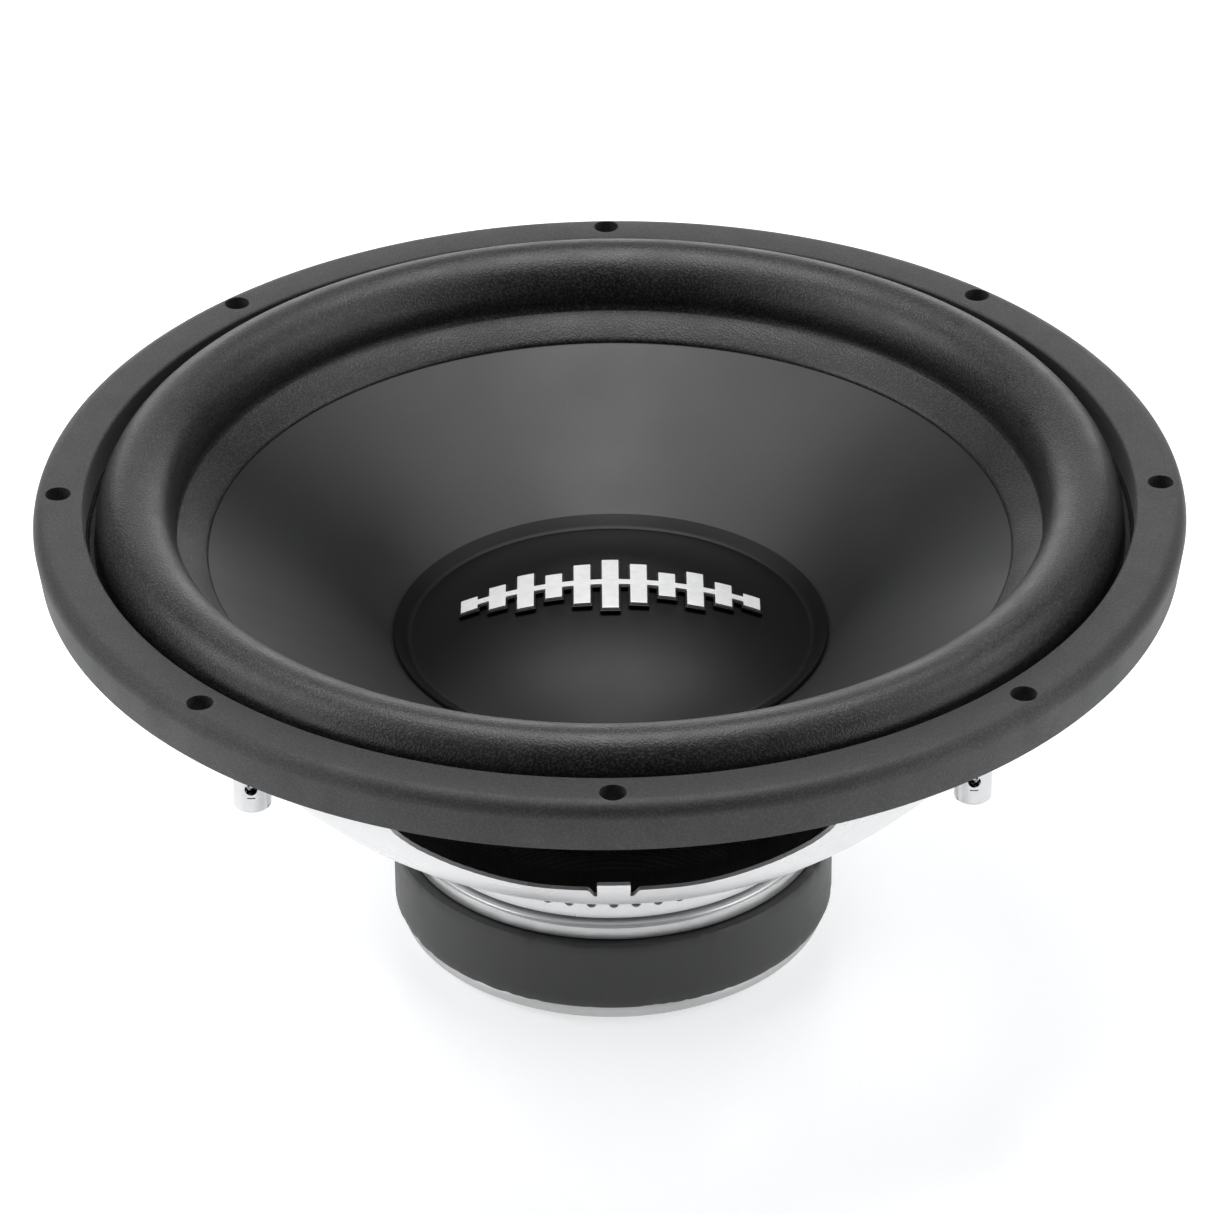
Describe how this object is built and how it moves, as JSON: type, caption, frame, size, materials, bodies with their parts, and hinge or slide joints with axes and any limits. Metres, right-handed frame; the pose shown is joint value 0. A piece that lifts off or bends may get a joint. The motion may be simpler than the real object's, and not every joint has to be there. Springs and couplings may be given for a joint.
{
  "type": "car subwoofer speaker",
  "caption": "Round car subwoofer driver: black cone and dust cap in a half-roll surround, matte trim ring, stamped steel basket and ferrite ring magnet motor.",
  "frame": {"origin": "centre of the back plate's rear face, on the driver's axis", "axes": "+Z along the driver's axis towards the cone, -Y towards the window with the tab, terminals to the left and right of it"},
  "size_m": [0.3144, 0.3144, 0.1419],
  "materials": {
    "trim_rubber": "matte",
    "silver_steel": "satin",
    "surround_foam": "matte",
    "cone_poly": "satin",
    "cap_poly": "satin",
    "badge_silver": "satin",
    "former_film": "satin",
    "copper_wire": "satin",
    "spider_cloth": "matte",
    "zinc_plate": "satin",
    "ferrite": "matte",
    "soft_iron": "satin",
    "black_plastic": "matte",
    "terminal_chrome": "polished",
    "spring_steel": "satin",
    "brass": "satin",
    "lead_braid": "satin"
  },
  "bodies": {
    "frame": {"trim_ring": "trim_rubber", "basket": "silver_steel", "surround": "surround_foam", "spider": "spider_cloth", "top_plate": "zinc_plate", "magnet_ring": "ferrite", "back_plate": "zinc_plate", "pole_piece": "soft_iron", "rivet_1": "zinc_plate", "rivet_2": "zinc_plate", "rivet_3": "zinc_plate", "rivet_4": "zinc_plate", "terminal_block_left": "black_plastic", "terminal_stud_left": "terminal_chrome", "cap_spring_left": "spring_steel", "solder_tag_left": "brass", "block_screw_left_1": "zinc_plate", "block_screw_left_2": "zinc_plate", "tinsel_lead_left": "lead_braid", "terminal_block_right": "black_plastic", "terminal_stud_right": "terminal_chrome", "cap_spring_right": "spring_steel", "solder_tag_right": "brass", "block_screw_right_1": "zinc_plate", "block_screw_right_2": "zinc_plate", "tinsel_lead_right": "lead_braid"},
    "cone_assembly": {"cone": "cone_poly", "dust_cap": "cap_poly", "badge": "badge_silver", "coil_former": "former_film", "coil_winding": "copper_wire", "lead_eyelet_left": "brass", "lead_eyelet_right": "brass"},
    "push_left": {"push_cap_left": "terminal_chrome"},
    "push_right": {"push_cap_right": "terminal_chrome"}
  },
  "joints": [
    {"name": "cone_travel", "type": "slide", "parent": "frame", "child": "cone_assembly", "axis": [0, 0, 1], "range_m": [-0.01, 0.01], "stiffness_N_per_m": 5000, "deforming": ["surround", "spider", "tinsel_lead_left", "tinsel_lead_right"]},
    {"name": "terminal_push_left", "type": "slide", "parent": "frame", "child": "push_left", "axis": [0, 0, 1], "range_m": [0, 0.003], "stiffness_N_per_m": 800, "springref_m": -0.002, "deforming": ["cap_spring_left"]},
    {"name": "terminal_push_right", "type": "slide", "parent": "frame", "child": "push_right", "axis": [0, 0, 1], "range_m": [0, 0.003], "stiffness_N_per_m": 800, "springref_m": -0.002, "deforming": ["cap_spring_right"]}
  ]
}
